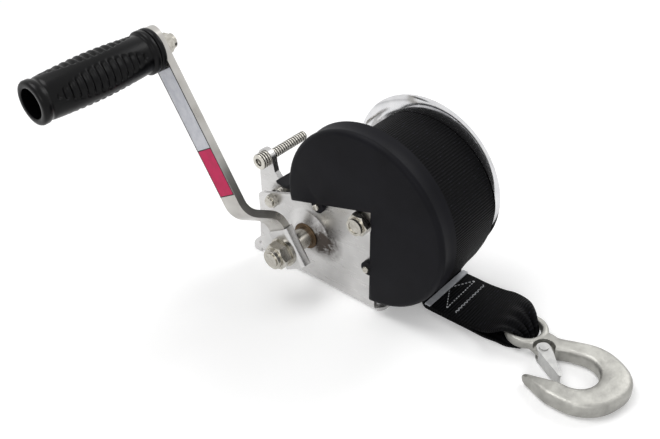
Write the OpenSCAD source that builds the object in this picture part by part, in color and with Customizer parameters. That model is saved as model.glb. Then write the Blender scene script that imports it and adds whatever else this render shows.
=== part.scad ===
// Manual boat trailer winch: geared strap winch with a cranked handle, gear cover, pawl and snap hook.
// The drum turns on an axis along X, the crank is on the -X side and the strap leaves towards -Y.
// The origin is on the base's underside, at the centre of its four bolt holes.

/* [Frame] */
// Thickness of the frame's sheet
frame_t = 3; // [2:0.5:4]
// Outside radius of the two bends between the base and the side plates
bend_r = 4.5; // [4.2:0.1:6]
// Length of the base, front to back
base_l = 142.5; // [140:0.5:160]
// Distance between the base's bolt holes, across the frame
hole_pitch_x = 62.5; // [54:0.5:63]
// Distance between the base's bolt holes, front to back
hole_pitch_y = 125; // [123:1:128]
// Diameter of the base's bolt holes
base_hole_d = 9; // [6:0.5:11]
// Distance of the drum's axis in front of the origin
drum_y = 57.5; // [56:0.5:59]
// Height of the drum's axis above the base's underside
drum_z = 82; // [80:0.5:90]

/* [Gears] */
// Module of the gear teeth
gear_m = 2; // [1.9:0.05:2.05]
// Teeth of the large gear on the drum
gear_teeth = 55; // [53:1:55]
// Teeth of the pinion on the crank shaft
pinion_teeth = 11; // [10:1:11]
// Face width of the large gear
gear_w = 6; // [4:0.5:6]
// Backlash at the pitch circle
backlash = 0.25; // [0.15:0.05:0.5]
// How far below the drum's axis the crank shaft lies, as an angle behind the drum
mesh_angle = 32.7; // [31:0.1:34]
// Diameter of the crank shaft in its bush
shaft_d = 16; // [14:0.5:17]
// Outside diameter of the crank shaft's bush
bush_d = 20; // [19:0.5:22]
// Radial clearance of a running fit
run_fit = 0.05; // [0.03:0.01:0.08]
// Diameter of the threads on the crank shaft
crank_thread_d = 12; // [10:0.5:13]

/* [Drum] */
// Diameter of the drum's tube
tube_d = 44; // [42:1:48]
// Wall of the drum's tube
tube_wall = 3; // [2:0.5:4]
// Diameter of the spacer sleeve that the drum turns on
sleeve_d = 20; // [18:0.5:22]
// Diameter of the bolt through the drum
drum_bolt_d = 10; // [8:0.5:12]
// Radius of the flange next to the gear
near_flange_r = 63; // [59:0.5:65]
// Radius of the outer flange at its lip
far_flange_r = 66.6; // [64:0.1:70]
// Thickness of the sheet of the flange next to the gear
flange_t = 2; // [1.5:0.1:2.4]
// Thickness of the outer flange's sheet
far_sheet_t = 1.6; // [1.4:0.1:1.8]
// How far the outer flange's rim is dished outwards
dish_depth = 2; // [1.6:0.1:2.2]

/* [Strap] */
// Width of the strap
strap_w = 50; // [40:1:51]
// Thickness of the strap
strap_t = 2.2; // [1.6:0.1:2.6]
// Radius of the wound strap
roll_r = 51.5; // [46:0.5:53]
// How far the loose last turn hangs away from the roll, in front of it
loose = 10; // [4:0.5:12]

/* [Gear cover] */
// Radius of the cover's front edge
cover_r = 70; // [69:0.5:73]
// Depth of the cover
cover_depth = 16; // [14:0.5:17]
// Thickness of the cover's front wall
cover_face_t = 3.5; // [2.5:0.1:4]
// Thickness of the cover's rim
cover_wall = 3; // [2:0.1:3.2]
// Radius of the cover's screw bosses
cover_boss_r = 5.8; // [4.2:0.1:6.5]

/* [Crank] */
// Crank length from the shaft to the grip's axis
crank_len = 175; // [150:1:200]
// Angle of the arm above the horizontal
arm_angle = 60.6; // [0:0.1:90]
// Width of the arm's bar
arm_w = 19; // [17:0.5:20]
// Thickness of the arm's bar
arm_t = 6; // [5:0.5:7]
// How far the arm steps outwards between the hub and the grip
arm_step = 26; // [20:0.5:32]
// Angle of the slanted stretch of the step
step_angle = 60; // [45:1:70]
// Gap between the frame and the handle socket
hub_gap = 18.5; // [15:0.5:20]
// Thickness of the handle socket's sheet
socket_t = 2; // [1.5:0.1:2.5]
// Length of the handle socket along the arm
socket_l = 33; // [28:1:36]

/* [Grip] */
// Length of the grip
grip_l = 99; // [85:1:110]
// Radius of the grip at its middle
grip_r = 16.8; // [15:0.1:18]
// Radius of the flange at the grip's open end
grip_end_r = 15.4; // [15:0.1:18]
// Radius of the collar at the arm
grip_collar_r = 16; // [15:0.1:17.5]
// Radius of the recess in the grip's open end
grip_recess_r = 10.6; // [9.5:0.1:12]
// Depth of that recess
grip_recess = 36; // [24:1:50]
// Diameter of the bolt that the grip turns on
grip_bolt_d = 8; // [6:0.5:9]

/* [Pawl] */
// Thickness of the pawl
pawl_t = 5; // [4:0.5:5]
// Number of ratchet teeth
ratchet_teeth = 12; // [11:1:13]
// Radius of the ratchet wheel
ratchet_r = 21; // [19:0.5:21]
// Thickness of the ratchet wheel
ratchet_t = 4.5; // [3.5:0.5:4.5]
// Diameter of the pawl's pivot bolt
pawl_bolt_d = 6; // [5:0.5:7]
// Diameter of the thumb bolt in the pawl
thumb_bolt_d = 8; // [6:0.5:9]
// Length of the thumb bolt under its head
thumb_bolt_l = 45; // [30:1:50]

/* [Hook] */
// Outside radius of the hook's bowl
bowl_r = 31; // [29:0.5:33]
// Inside radius of the hook's bowl
throat_r = 15.6; // [14:0.1:16]
// Distance from the hook's eye to the centre of its bowl
hook_l = 51.3; // [50:0.1:54]
// Thickness of the hook
hook_t = 13; // [12:0.5:15]
// Outside radius of the hook's eye
eye_r = 16; // [15.5:0.5:17]
// Radius of the hole in the hook's eye
eye_hole_r = 10.5; // [9.5:0.25:11]

/* [Hidden] */
$fn = 64;

// Colours
steel = "lightgray";
polished = "gainsboro";
zinc = "silver";
bronze = "darkgoldenrod";
plastic = "dimgray";
webbing = "darkslategray";

// Clearances
gap = 0.3;
bolt_fit = 0.2;

// Places along the drum's axis
drum_gap = 0.5;
frame_w = 2 * frame_t + 1 + gear_w + 0.5 + ratchet_t + 1 + flange_t + 4.5 + strap_w + 0.4 + far_sheet_t + dish_depth + drum_gap;
near_x = -frame_w / 2;
near_in = near_x + frame_t;
far_x = frame_w / 2;
far_in = far_x - frame_t;
gear_x = near_in + 1;
pinion_x = gear_x - gap;
ratchet_x = gear_x + gear_w + 0.5;
near_flange_x = ratchet_x + ratchet_t + 1;
roll_x = near_flange_x + flange_t + 4.5;
far_flange_x = roll_x + strap_w + 0.4;
far_flange_out = far_flange_x + far_sheet_t;

// Centre distance, and the crank shaft's place in the Y-Z plane
centres = gear_m * (gear_teeth + pinion_teeth) / 2;
drum_at = [-drum_y, drum_z];
crank_at = drum_at + centres * [cos(mesh_angle), -sin(mesh_angle)];
profile_shift = 0.35;
pressure_angle = 20;

// Dome pressed into the near plate round the crank shaft
dome_r = 22;
dome_h = 4.5;
dome_top_r = bush_d / 2 + 2.5;
bush_flange_t = 1;

// Bolts and nuts
drum_nut_af = 16;
drum_nut_h = 11;
bolt_head_h = 6.4;
crank_nut_af = 19;
crank_nut_h = 12;
crank_washer_t = 2.5;
crank_washer_r = 12;
grip_nut_af = 13;
grip_nut_h = 11;
grip_head_h = 5.3;
small_nut_af = 10;
small_nut_h = 6;
small_head_h = 4;

// Side plate outline, near side
plate_rear = 56.3;
plate_front = -drum_y - 7.5;
plate_top_slope = 0.3115;

// Gear cover
cover_front = near_x - cover_face_t;
cover_back = cover_front + cover_depth;
cover_back_r = cover_r + 2.3;
cover_edge_r = 3;
cover_screw_d = 3.5;
cover_screws_at = [[-drum_y + 42, drum_z - 3], [-drum_y - 4.8, drum_z - 39.7]];
cut_rear = [70.1, -8.5];
cut_corner = [-9.9, 13.1];
cut_bottom = [-5.4, -71.3];

// Crank arm, along the drum's axis
socket_in = near_x - hub_gap;
arm_low = socket_in - socket_t;
socket_out = arm_low - arm_t - socket_t;
arm_high = arm_low - arm_step;
step_r = 16;
step_top = 51.5;
arm_end = 6;
grip_x = arm_high - arm_t - 0.5;
grip_seat = grip_x - grip_l + grip_recess;

// Pawl
pawl_x = near_in + 6.7;
pawl_at = [35.5, 62.5];
thumb_at = [50.3, 90.6];
thumb_head_h = 8;
thumb_head_r = 6.5;
pawl_nose = 34;
pawl_engaged_angle = 178.4;
pawl_lift = 8;
ratchet_root_r = 16;
spring_wire = 1.5;
spring_r = 6.6;

// Strap
tail_z = 0.2;
tail_x = roll_x + 3.5;
fold_y = -93.1;

// Hook, seen from above
hook_at = [3.2, -172];
hook_turn = 20;
eye_z = 8.5;
eye_h = 8;
eye_bar = [hook_at[1] + (eye_r + eye_hole_r) / 2, eye_z];
eye_rear = hook_at[1] + eye_r;
loop_r = 5.9;
neck_y = eye_rear + 10;
rivet_at = [22.5, -3];
rivet_r = 2;
latch_t = 1.4;
latch_l = 28.4;
latch_angle = -17.3;
seat_low = 2.6;
seat_high = hook_t - 4.6;
seat_r = 7.5;
ear_low = 0.9;
ear_high = hook_t - 0.95 - latch_t;
loop_w = 10;

// ---------- Helpers ----------

// Lays a flat Y-Z shape across the drum's axis, from x over thickness t
module across(x, t) translate([x, 0, 0]) rotate([90, 0, 90]) linear_extrude(t) children();

// Round bar along X between x and x + l, at a place in the Y-Z plane
module bar(x, l, r, at = [0, 0]) across(x, l) translate(at) circle(r);

// Turned shape along X: its profile gives [radius, x]
module turned(profile, at = [0, 0])
    translate([0, at[0], at[1]]) rotate([90, 0, 90]) rotate_extrude($fn = 96) polygon(profile);

function arc(c, r, a, b, n) = [for (i = [0:n]) c + r * [cos(a + (b - a) * i / n), sin(a + (b - a) * i / n)]];

// Points of an arc that rounds corner q, between its neighbours p and s
function corner(p, q, s, r, n = 6) =
    let (
        u = (p - q) / norm(p - q), v = (s - q) / norm(s - q),
        half = acos(max(-1, min(1, u * v))) / 2,
        reach = r / tan(half),
        c = q + (u + v) / norm(u + v) * r / sin(half),
        from = q + u * reach - c, to = q + v * reach - c,
        a = atan2(from[1], from[0]), d = atan2(to[1], to[0]) - a,
        turn = d > 180 ? d - 360 : d < -180 ? d + 360 : d
    )
    arc(c, r, a, a + turn, n);

// Closed outline from corners given as [y, z, radius]
function rounded(pts, n = 6) =
    let (k = len(pts))
    [for (i = [0:k - 1])
        let (p = pts[(i + k - 1) % k], q = pts[i], s = pts[(i + 1) % k])
        each (q[2] == 0 ? [[q[0], q[1]]] : corner([p[0], p[1]], [q[0], q[1]], [s[0], s[1]], q[2], n))];

// Band of a given thickness along an open path
function side(path, i) =
    let (a = path[max(0, i - 1)], b = path[min(len(path) - 1, i + 1)], d = (b - a) / norm(b - a)) [-d[1], d[0]];
function band(path, t) = concat(
    [for (i = [0:len(path) - 1]) path[i] + side(path, i) * t / 2],
    [for (i = [len(path) - 1:-1:0]) path[i] - side(path, i) * t / 2]);

// Six-sided bar along X with both ends chamfered, as on nuts and bolt heads
module hexagon(x, h, af, at) {
    corner_r = af / 2 / cos(30);
    cut = 0.12 * af;
    intersection() {
        across(x, h) translate(at) circle(corner_r, $fn = 6);
        turned([[0, x], [af / 2, x], [corner_r + 0.01, x + cut / 2], [corner_r + 0.01, x + h - cut / 2],
            [af / 2, x + h], [0, x + h]], at);
    }
}

// Lock nut along X: seat at x, collar pointing to dir
module lock_nut(x, h, af, d, at, dir) {
    hex_h = 0.72 * h;
    x0 = dir < 0 ? x - hex_h : x;
    collar = dir < 0 ? x - h : x + hex_h;
    difference() {
        union() {
            hexagon(x0, hex_h, af, at);
            bar(collar, h - hex_h, 0.42 * af, at);
        }
        bar(min(x, x + dir * h) - 1, h + 2, d / 2, at);
    }
}

// Puts parts on the arm: Z runs from the crank shaft to the grip, -Y is the arm's front edge
module on_arm() translate([0, crank_at[0], crank_at[1]]) rotate([arm_angle - 90, 0, 0]) children();

// ---------- Frame ----------

function plate_top(y) = drum_z - 8.3 + plate_top_slope * (17.5 - y);

// Outline of the near side plate, with a margin g round its free edges
function near_outline(g = 0) = rounded([
    [plate_rear + g, bend_r, 0],
    [plate_rear + g, 18, 12],
    [plate_rear - 3.4 + g, 46, 12],
    [plate_rear - 3.6 + g, plate_top(plate_rear - 3.6) + g, 5],
    [-drum_y - 10.5 - g, plate_top(-drum_y - 10.5) + 4 + g, 15],
    [-drum_y - 18 - g, drum_z - 12, 20],
    [plate_front - g, 14, 12],
    [plate_front - g, bend_r, 0]], 5);

// Outline of the far side plate, which carries only the drum's bolt
function far_outline() = rounded([
    [plate_rear, bend_r, 0],
    [plate_rear, 16, 10],
    [-drum_y + 24, drum_z + 6, 40],
    [-drum_y, drum_z + 18, 12],
    [-drum_y - 18, drum_z, 16],
    [plate_front, 14, 12],
    [plate_front, bend_r, 0]], 5);

module frame_bend(sx) {
    in_r = bend_r - frame_t;
    plate_l = plate_rear - plate_front;
    translate([sx * (frame_w / 2 - bend_r), plate_rear, bend_r]) rotate([90, 0, 0])
        linear_extrude(plate_l) difference() {
            intersection() {
                circle(bend_r);
                translate([sx > 0 ? 0 : -bend_r, -bend_r]) square(bend_r);
            }
            circle(in_r, $fn = 32);
        }
}

module base_plate() {
    ear_r = (base_l - hole_pitch_y) / 2;
    flat_x = frame_w / 2 - bend_r;
    ears = rounded([for (s = [[1, 1], [-1, 1], [-1, -1], [1, -1]])
        [s[0] * frame_w / 2, s[1] * base_l / 2, ear_r]], 8);
    linear_extrude(frame_t) difference() {
        polygon(ears);
        for (sx = [-1, 1]) {
            translate([sx > 0 ? flat_x : -frame_w / 2 - 1, plate_front - 1.5])
                square([bend_r + 1, plate_rear - plate_front + 3]);
            for (sy = [-1, 1]) translate([sx * hole_pitch_x / 2, sy * hole_pitch_y / 2])
                circle(base_hole_d / 2);
        }
    }
}

module frame() color(steel) {
    base_plate();
    for (sx = [-1, 1]) frame_bend(sx);
    difference() {
        across(near_x, frame_t) polygon(near_outline());
        bar(near_x - 1, frame_t + 2, dome_r, crank_at);
        bar(near_x - 1, frame_t + 2, drum_bolt_d / 2 + bolt_fit, drum_at);
        bar(near_x - 1, frame_t + 2, pawl_bolt_d / 2 + bolt_fit, pawl_at);
        for (p = cover_screws_at) bar(near_x - 1, frame_t + 2, cover_screw_d / 2, p);
    }
    turned([
        [bush_d / 2, near_x - dome_h], [dome_top_r, near_x - dome_h], [dome_r - 2, near_x - 0.4], [dome_r, near_x],
        [dome_r, near_in], [dome_r - 3, near_in - 0.5], [dome_top_r - 1.5, near_in - dome_h],
        [bush_d / 2, near_in - dome_h]], crank_at);
    difference() {
        across(far_in, frame_t) polygon(far_outline());
        bar(far_in - 1, frame_t + 2, drum_bolt_d / 2 + bolt_fit, drum_at);
    }
}

module shaft_bush() color(bronze) {
    top = near_x - dome_h;
    turned([
        [shaft_d / 2 + run_fit, top - bush_flange_t], [bush_d / 2 + 0.8, top - bush_flange_t],
        [bush_d / 2 + 1, top - bush_flange_t + 0.3], [bush_d / 2 + 1, top], [bush_d / 2, top],
        [bush_d / 2, near_in], [shaft_d / 2 + run_fit, near_in]], crank_at);
}

// ---------- Gear cover ----------

// The cut-out of the cover, as the region behind and below two straight edges
function cut_region() = [
    drum_at + cut_rear + 3 * (cut_rear - cut_corner) / norm(cut_rear - cut_corner) * 10,
    drum_at + cut_corner,
    drum_at + cut_bottom + 3 * (cut_bottom - cut_corner) / norm(cut_bottom - cut_corner) * 10,
    [200, -200], [200, 0]];

module cover_cut() {
    difference() {
        polygon(cut_region());
        for (p = cover_screws_at) translate(p) circle(cover_boss_r);
    }
    translate(drum_at) circle(drum_nut_af / 2 / cos(30) + 0.8);
}

module gear_cover() color(plastic) {
    difference() {
        turned(concat(
            [[0, cover_front]],
            [for (a = [0:15:90]) [cover_r - cover_edge_r * 0.4 + cover_edge_r * sin(a) * 0.55,
                cover_front + cover_edge_r * (1 - cos(a))]],
            [[cover_back_r, cover_back], [cover_back_r - cover_wall, cover_back],
             [cover_r - cover_wall, near_x], [0, near_x]]), drum_at);
        across(cover_front - 1, cover_depth + 2) cover_cut();
        across(near_x, frame_t + gap) polygon(near_outline(0.5));
        for (p = cover_screws_at) bar(cover_front - 1, cover_face_t + 2, cover_screw_d / 2, p);
    }
    cover_clip();
}

// Finger of the cover that reaches back and hooks over the near plate's top edge
module cover_clip() across(near_in + gap, 5.2) translate(drum_at) polygon(rounded([
    [60, 15, 0], [70, 15, 0], [92, -3.2, 1.2], [90.5, -5, 1], [82, -6.2, 2], [72, -4, 0], [66, 0, 0]], 4));

module cover_screws() color(steel) for (p = cover_screws_at) {
    turned([
        [0, cover_front - 3.4], [1.6, cover_front - 3.4], [2.4, cover_front - 2.8], [2.7, cover_front - 1.9],
        [2.7, cover_front], [cover_screw_d / 2, cover_front], [cover_screw_d / 2, near_in + 0.5],
        [0, near_in + 0.5]], p);
}

// ---------- Drum ----------

module axle_sleeve() color(steel) difference() {
    bar(near_in, far_in - near_in, sleeve_d / 2, drum_at);
    bar(near_in - 1, far_in - near_in + 2, drum_bolt_d / 2 + bolt_fit, drum_at);
}

module drum_bolt() color(steel) {
    hexagon(far_x + 1.5, bolt_head_h, drum_nut_af, drum_at);
    bar(near_x - drum_nut_h + 0.8, frame_w + drum_nut_h + 0.7, drum_bolt_d / 2, drum_at);
}

module drum_washer() color(steel) difference() {
    bar(far_x, 1.5, drum_bolt_d, drum_at);
    bar(far_x - 1, 3.5, drum_bolt_d / 2 + bolt_fit, drum_at);
}

module drum_nut() color(steel) lock_nut(near_x, drum_nut_h, drum_nut_af, drum_bolt_d, drum_at, -1);

function involute(a) = tan(a) * 180 / PI - a;

// Half the angle that a tooth spans at radius r
function tooth_half(r, teeth, shift) =
    let (pitch_r = gear_m * teeth / 2, base_r = pitch_r * cos(pressure_angle))
    (90 + 2 * shift * tan(pressure_angle) * 180 / PI) / teeth + involute(pressure_angle)
        - involute(acos(min(1, base_r / r))) - backlash / 4 / pitch_r * 180 / PI;

function gear_outline(teeth, shift, steps = 4) =
    let (
        pitch_r = gear_m * teeth / 2,
        tip_r = pitch_r + gear_m * (0.95 + shift),
        root_r = pitch_r - gear_m * (1.25 - shift),
        low_r = max(root_r, pitch_r * cos(pressure_angle) + 0.01)
    )
    [for (k = [0:teeth - 1])
        let (mid = 360 * k / teeth)
        each concat(
            [root_r * [cos(mid - tooth_half(low_r, teeth, shift) - 0.6 * 11 / teeth),
                sin(mid - tooth_half(low_r, teeth, shift) - 0.6 * 11 / teeth)]],
            [for (i = [0:steps]) let (r = low_r + (tip_r - low_r) * i / steps, a = mid - tooth_half(r, teeth, shift))
                r * [cos(a), sin(a)]],
            [for (i = [steps:-1:0]) let (r = low_r + (tip_r - low_r) * i / steps, a = mid + tooth_half(r, teeth, shift))
                r * [cos(a), sin(a)]],
            [root_r * [cos(mid + tooth_half(low_r, teeth, shift) + 0.6 * 11 / teeth),
                sin(mid + tooth_half(low_r, teeth, shift) + 0.6 * 11 / teeth)]])];

rivet_circle_r = tube_d / 2 + 5;
gear_rivet_r = 3;
gear_hub_r = tube_d / 2 + 10;

module rivet_places() for (a = [45:90:315]) translate(rivet_circle_r * [cos(a), sin(a)]) children();

module drum_gear() color(zinc) {
    across(gear_x, gear_w) translate(drum_at) difference() {
        rotate(-mesh_angle) polygon(gear_outline(gear_teeth, -profile_shift));
        circle(tube_d / 2);
        rivet_places() circle(gear_rivet_r);
        for (a = [0:60:300]) rotate(a) translate([(gear_hub_r + 48) / 2, 0]) circle(5);
    }
    across(gear_x + gear_w, near_flange_x - gear_x - gear_w) translate(drum_at) difference() {
        circle(gear_hub_r);
        circle(tube_d / 2);
        rivet_places() circle(gear_rivet_r);
    }
}

module near_flange() color(polished) across(near_flange_x, flange_t) translate(drum_at) difference() {
    circle(near_flange_r, $fn = 96);
    circle(tube_d / 2);
    rivet_places() circle(gear_rivet_r);
    translate(anchor_at) circle(anchor_r);
}

module gear_rivets() color(zinc)
    across(gear_x, near_flange_x + flange_t - gear_x) translate(drum_at) rivet_places() circle(gear_rivet_r);

anchor_r = 4;
anchor_at = [0, -(tube_d / 2 + anchor_r + strap_t)];

// Bolt that the sewn end of the strap goes round, between the two flanges
module strap_anchor() color(steel) {
    start = near_flange_x;
    bar(start, far_flange_out - start, anchor_r, drum_at + anchor_at);
    hexagon(far_flange_out, far_in - drum_gap - far_flange_out, 13, drum_at + anchor_at);
}

// Outer flange: a flat web, then a bell mouth that flares outwards and ends in a thick lip
module far_flange() color(polished) {
    bell = far_flange_r - roll_r - 1.5;
    inner = [for (a = [0:10:60]) [roll_r + 1.5 + bell * sin(a) / sin(60), far_flange_x + dish_depth * (1 - cos(a)) / 0.5]];
    outer = [for (p = inner) [p[0] - (p[1] - far_flange_x) * 0.22, p[1] + far_sheet_t]];
    difference() {
        turned(concat([[tube_d / 2, far_flange_x]], inner, [for (i = [len(outer) - 1:-1:0]) outer[i]],
            [[tube_d / 2, far_flange_out]]), drum_at);
        bar(far_flange_x - 1, far_sheet_t + 2, anchor_r, drum_at + anchor_at);
    }
}

module drum_tube() color(zinc) difference() {
    bar(gear_x, far_flange_out - gear_x, tube_d / 2, drum_at);
    bar(gear_x - 1, far_flange_out - gear_x + 2, tube_d / 2 - tube_wall, drum_at);
}

module drum_bush(x, l) color(bronze) difference() {
    bar(x, l, tube_d / 2 - tube_wall, drum_at);
    bar(x - 1, l + 2, sleeve_d / 2 + run_fit, drum_at);
}

module near_bush() drum_bush(near_in + 0.4, 13);
module far_bush() drum_bush(far_in - 0.4 - 15, 15);

// ---------- Strap ----------

module strap_roll() color(webbing) difference() {
    bar(roll_x, strap_w, roll_r, drum_at);
    bar(roll_x - 1, strap_w + 2, tube_d / 2, drum_at);
    bar(roll_x - 1, strap_w + 2, anchor_r, drum_at + anchor_at);
}

// Path of the strap's last turn: off the top of the roll, slack in front of it, then down to the fold
function loose_turn() = [for (a = [-10:10:90])
    drum_at + (roll_r + gap + strap_t / 2 + loose * pow(max(0, a) / 90, 1.5)) * [-sin(a), cos(a)]];
tail_mid = tail_z + strap_t / 2;
tail_path = concat(loose_turn(),
    [[-drum_y - 62.3, 66], [-drum_y - 58.2, 50.5], [-drum_y - 49.6, 32], [-drum_y - 40.5, 17], [-drum_y - 36, 9]],
    arc([fold_y - 3, tail_mid + 4], 4, 40, -90, 6));
cut_end_y = fold_y - 1.9;
clip_gap = 0.05;
clip_top = tail_z + 2 * strap_t + clip_gap + 1.2;

// Loop round the rear of the hook's eye, with the strap bunched together behind it
module loop_side() difference() {
    union() {
        translate(eye_bar) circle(loop_r + strap_t);
        polygon([[neck_y, tail_z], [neck_y, tail_z + 2 * strap_t],
            eye_bar + (loop_r + strap_t) * [cos(62), sin(62)], eye_bar - [0, 0],
            [eye_bar[0], eye_bar[1] - loop_r - strap_t]]);
    }
    translate(eye_bar) circle(loop_r);
}

module on_hook() translate([hook_at[0], hook_at[1], 0]) rotate([0, 0, -90 - hook_turn]) children();

module strap_tail() color(webbing) {
    // Off the drum and down to the table
    across(roll_x, strap_w) polygon(band(concat(tail_path, [[fold_y - 3.5, tail_mid]]), strap_t));
    // Flat on the table, a little to one side, with its end folded back over itself and sewn down
    across(tail_x, strap_w) polygon([
        [fold_y - 3, tail_z], [fold_y - 3, tail_z + strap_t], [cut_end_y, tail_z + strap_t],
        [cut_end_y, tail_z + 2 * strap_t], [neck_y, tail_z + 2 * strap_t], [neck_y, tail_z]]);
    intersection() {
        across(tail_x, strap_w) loop_side();
        linear_extrude(60) polygon([
            [tail_x, neck_y + 2], [tail_x + strap_w, neck_y + 2], [tail_x + strap_w, neck_y],
            [hook_at[0] + 14, eye_rear + 2], [hook_at[0] + loop_w / 2, eye_rear + 0.4],
            [hook_at[0] + loop_w / 2, hook_at[1] - 20], [hook_at[0] - loop_w / 2, hook_at[1] - 20],
            [hook_at[0] - loop_w / 2, eye_rear + 0.4], [hook_at[0] - 14, eye_rear + 2], [tail_x, neck_y]]);
    }
}

// Flat metal strip clamped over the cut end of the strap, with a lip down behind it
module strap_clip() color(steel) across(tail_x - 0.5, strap_w + 1) polygon([
    [cut_end_y - 3.9, tail_z + 2 * strap_t + clip_gap], [cut_end_y - 3.9, clip_top],
    [cut_end_y + 0.7, clip_top], [cut_end_y + 0.7, clip_top - 1.7], [cut_end_y + 0.1, clip_top - 1.7],
    [cut_end_y + 0.1, tail_z + 2 * strap_t + clip_gap]]);

// ---------- Crank ----------

module pinion_shaft() color(steel) {
    pinion_end = gear_x + gear_w + gap;
    bar(near_in, ratchet_x + ratchet_t - near_in + 0.3, shaft_d / 2, crank_at);
    across(pinion_x, pinion_end - pinion_x) translate(crank_at)
        rotate(180 - mesh_angle + 180 / pinion_teeth) polygon(gear_outline(pinion_teeth, profile_shift));
    bar(socket_in, near_in - socket_in, shaft_d / 2, crank_at);
    intersection() {
        bar(socket_out, socket_in - socket_out, crank_thread_d / 2, crank_at);
        across(socket_out, socket_in - socket_out) translate(crank_at) rotate(arm_angle) square([9, 20], center = true);
    }
    bar(socket_out - crank_washer_t - crank_nut_h - 0.8, crank_washer_t + crank_nut_h + 0.8, crank_thread_d / 2, crank_at);
}

module ratchet_wheel() color(zinc) across(ratchet_x, ratchet_t) translate(crank_at) difference() {
    polygon([for (k = [0:ratchet_teeth - 1])
        let (a = 81.5 + 360 * k / ratchet_teeth)
        each [ratchet_root_r * [cos(a), sin(a)], ratchet_r * [cos(a), sin(a)],
            ratchet_r * [cos(a + 3), sin(a + 3)],
            (ratchet_root_r + 0.6) * [cos(a + 270 / ratchet_teeth), sin(a + 270 / ratchet_teeth)]]]);
    circle(shaft_d / 2);
}

module drive_hole(x, l) intersection() {
    rotate([0, 90, 0]) cylinder(r = crank_thread_d / 2, h = 200, center = true);
    translate([x, -20, -4.5]) cube([l, 40, 9]);
}

// Folded sheet round the arm's lower end
module handle_socket() color(steel) on_arm() difference() {
    translate([0, 0, -socket_l / 2 + 0.4]) linear_extrude(socket_l) difference() {
        polygon(rounded([
            [socket_out, -arm_w / 2 - socket_t - gap, 3], [socket_in, -arm_w / 2 - socket_t - gap, 3],
            [socket_in, arm_w / 2, 1], [socket_out, arm_w / 2, 1]]));
        polygon(rounded([
            [socket_out + socket_t, -arm_w / 2 - gap, 0], [arm_low, -arm_w / 2 - gap, 0],
            [arm_low, arm_w, 0], [socket_out + socket_t, arm_w, 0]]));
    }
    drive_hole(socket_out - 1, arm_t + 2 * socket_t + 2);
}

// Centre line of the bar: up from the hub, out through the step, and up to the grip
function arm_path() =
    let (
        low = arm_low - arm_t / 2, high = arm_high - arm_t / 2,
        slant = (arm_step - 2 * step_r * (1 - cos(step_angle))) / sin(step_angle),
        rise = 2 * step_r * sin(step_angle) + slant * cos(step_angle)
    )
    concat(
        [[low, -socket_l / 2 + 0.6]],
        arc([low - step_r, step_top - rise], step_r, 0, step_angle, 8),
        arc([high + step_r, step_top], step_r, 180 + step_angle, 180, 8),
        [[high, crank_len + arm_end]]);

module crank_arm() color(steel) on_arm() difference() {
    union() {
        translate([0, arm_w / 2, 0]) rotate([90, 0, 0]) linear_extrude(arm_w) polygon(band(arm_path(), arm_t));
        translate([arm_high - arm_t, 0, crank_len + arm_end]) rotate([0, 90, 0]) cylinder(r = arm_w / 2, h = arm_t);
    }
    drive_hole(arm_low - arm_t - 1, arm_t + 2);
    translate([arm_high - arm_t - 1, 0, crank_len]) rotate([0, 90, 0])
        cylinder(r = grip_bolt_d / 2 + bolt_fit, h = arm_t + 2);
}

module crank_washer() color(steel) difference() {
    bar(socket_out - crank_washer_t, crank_washer_t, crank_washer_r, crank_at);
    bar(socket_out - crank_washer_t - 1, crank_washer_t + 2, crank_thread_d / 2 + bolt_fit, crank_at);
}

module crank_nut() color(steel)
    lock_nut(socket_out - crank_washer_t, crank_nut_h, crank_nut_af, crank_thread_d, crank_at, -1);

grip_at = crank_at + crank_len * [cos(arm_angle), sin(arm_angle)];

module grip_bolt() color(steel) {
    hexagon(grip_seat - gap - grip_head_h, grip_head_h, grip_nut_af, grip_at);
    bar(grip_seat - gap, arm_high + grip_nut_h - grip_seat + gap, grip_bolt_d / 2, grip_at);
}

module grip_nut() color(steel) lock_nut(arm_high, grip_nut_h, grip_nut_af, grip_bolt_d, grip_at, 1);

// Grip profile: flange at the open end, bulged body, neck and collar at the arm
function grip_profile() =
    let (end = grip_x - grip_l)
    concat(
        [[grip_recess_r, end], [grip_end_r - 1.5, end]],
        arc([grip_end_r - 2, end + 2], 2, -60, 0, 3),
        arc([grip_end_r - 2, end + 6], 2, 0, 70, 3),
        [for (i = [0:10]) let (f = i / 10)
            [grip_r - 2 * pow(abs(1 - 2 * f), 1.8) - 0.7 * f, end + 10 + (grip_l - 21) * f]],
        [[grip_collar_r - 1.5, grip_x - 10], [grip_collar_r, grip_x - 8.5], [grip_collar_r, grip_x - 5.5],
         [grip_collar_r - 1, grip_x - 5], [grip_collar_r - 1, grip_x - 4.5], [grip_collar_r, grip_x - 4],
         [grip_collar_r, grip_x - 1], [grip_collar_r - 1, grip_x],
         [grip_bolt_d / 2 + run_fit, grip_x], [grip_bolt_d / 2 + run_fit, grip_seat], [grip_recess_r, grip_seat]]);

module grip() color(plastic) turned(grip_profile(), grip_at);

// ---------- Pawl ----------

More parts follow.
